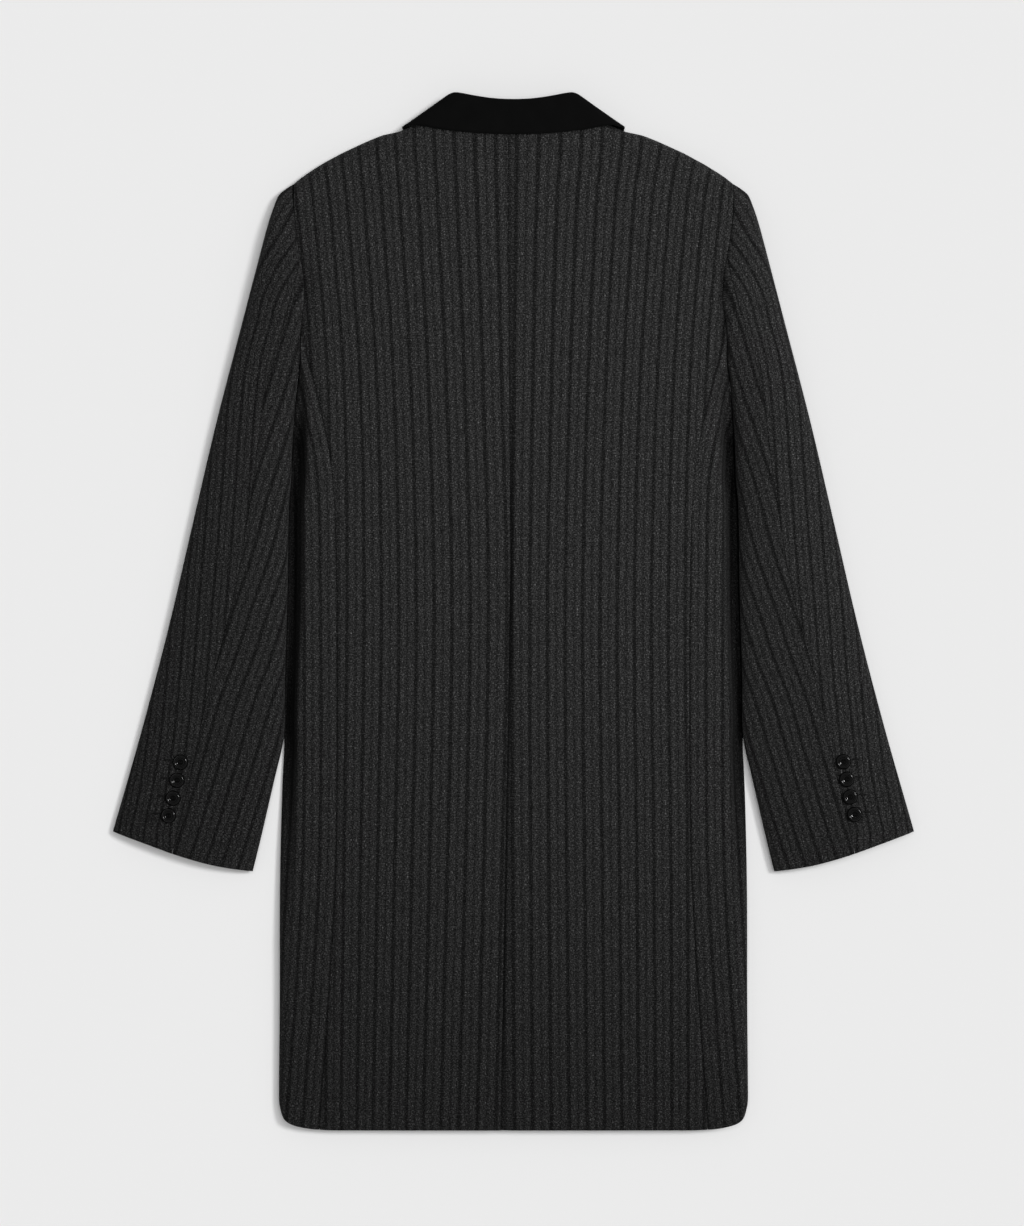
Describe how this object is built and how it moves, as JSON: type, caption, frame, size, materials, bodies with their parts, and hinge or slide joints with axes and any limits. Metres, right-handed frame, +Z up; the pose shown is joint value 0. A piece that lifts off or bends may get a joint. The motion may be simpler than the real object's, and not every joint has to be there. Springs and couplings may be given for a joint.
{
  "type": "chesterfield coat",
  "caption": "Knee-length pinstriped chesterfield coat with a velvet collar, laid flat face down, back up, sleeves beside the body, back vent and buttoned cuffs.",
  "frame": {"origin": "middle of the bounding box on the floor that the coat lies on", "axes": "+X to the wearer's right, +Y from the hem to the collar, +Z up from the floor, out of the coat's back"},
  "size_m": [0.8034, 1.0387, 0.0245],
  "materials": {
    "coating": "matt striped wool coating",
    "velvet": "short black velvet pile",
    "button": "polished black"
  },
  "bodies": {
    "root": {"back_left": "coating", "back_right": "coating", "side_left": "coating", "side_right": "coating", "front_left": "coating", "front_right": "coating", "lapel_left": "coating", "lapel_right": "coating", "top_sleeve_left": "coating", "top_sleeve_right": "coating", "under_sleeve_left": "coating", "under_sleeve_right": "coating", "collar": "velvet", "cuff_button_left_1": "button", "cuff_button_left_2": "button", "cuff_button_left_3": "button", "cuff_button_left_4": "button", "cuff_button_right_1": "button", "cuff_button_right_2": "button", "cuff_button_right_3": "button", "cuff_button_right_4": "button"}
  },
  "joints": []
}
